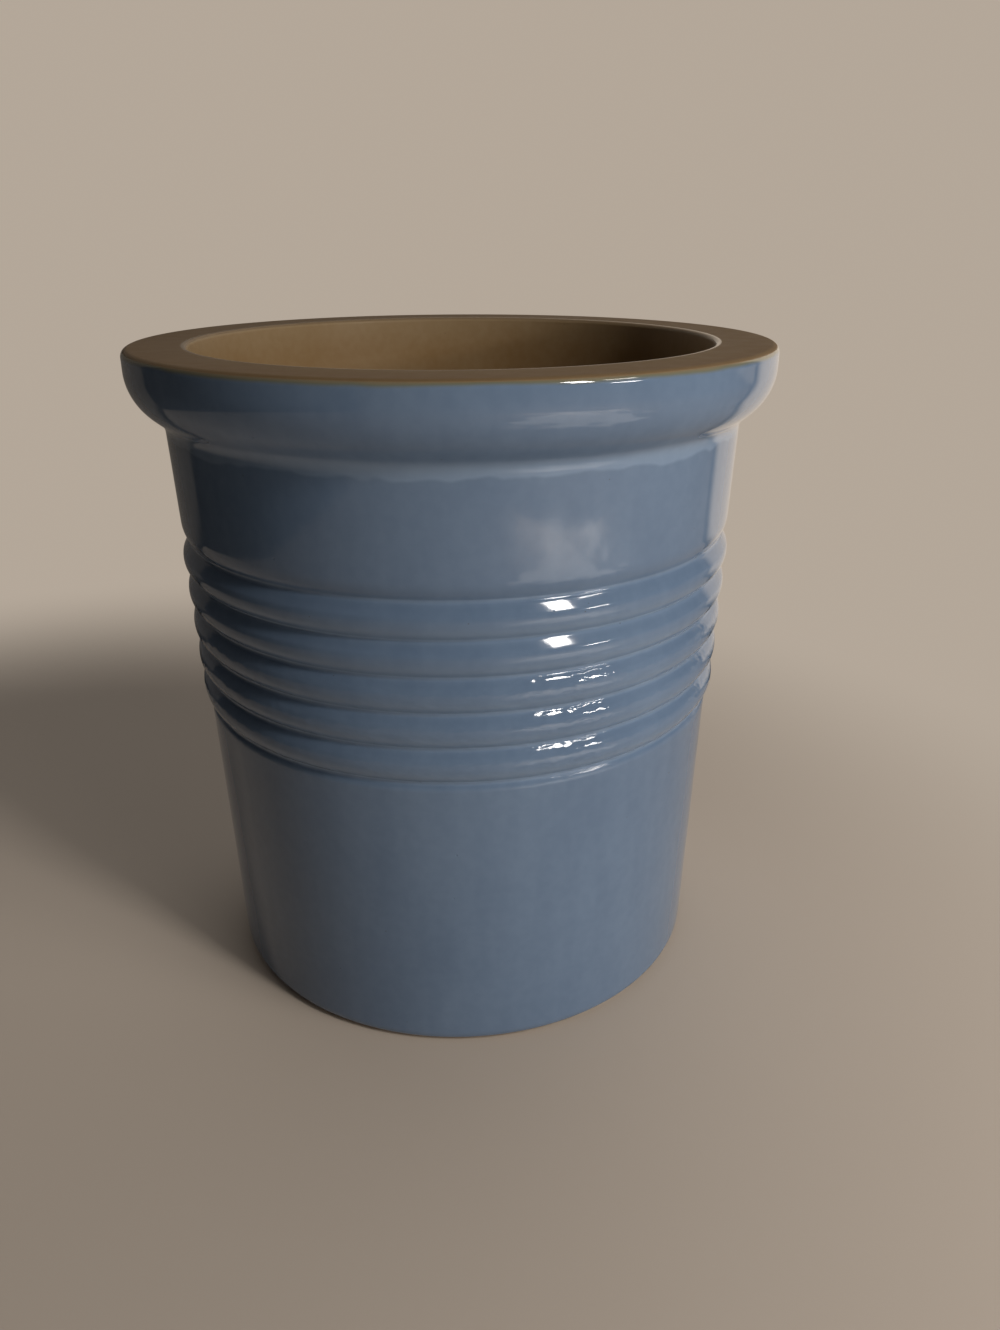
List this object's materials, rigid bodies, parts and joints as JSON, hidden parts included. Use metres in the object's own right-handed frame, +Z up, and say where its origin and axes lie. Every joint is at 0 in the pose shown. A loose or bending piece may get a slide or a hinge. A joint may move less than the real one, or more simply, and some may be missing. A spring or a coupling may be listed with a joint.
{
  "type": "utensil crock",
  "caption": "Open round stoneware crock with a heavy rolled rim, turned beads round the middle and a dry foot ring, blue glazed outside and tan inside.",
  "frame": {"origin": "middle of the foot ring, on the surface that the crock stands on", "axes": "+Z up along the crock's axis, out of its mouth; the picture looks along +Y with +X to the right"},
  "size_m": [0.1712, 0.1712, 0.178],
  "materials": {
    "stoneware": "dry fired buff clay, matte",
    "blue_glaze": "glossy greyish blue glaze",
    "tan_glaze": "glossy tan glaze"
  },
  "bodies": {
    "root": {"stoneware_body": "stoneware", "outer_blue_glaze": "blue_glaze", "inner_tan_glaze": "tan_glaze", "underside_glaze": "tan_glaze"}
  },
  "joints": []
}
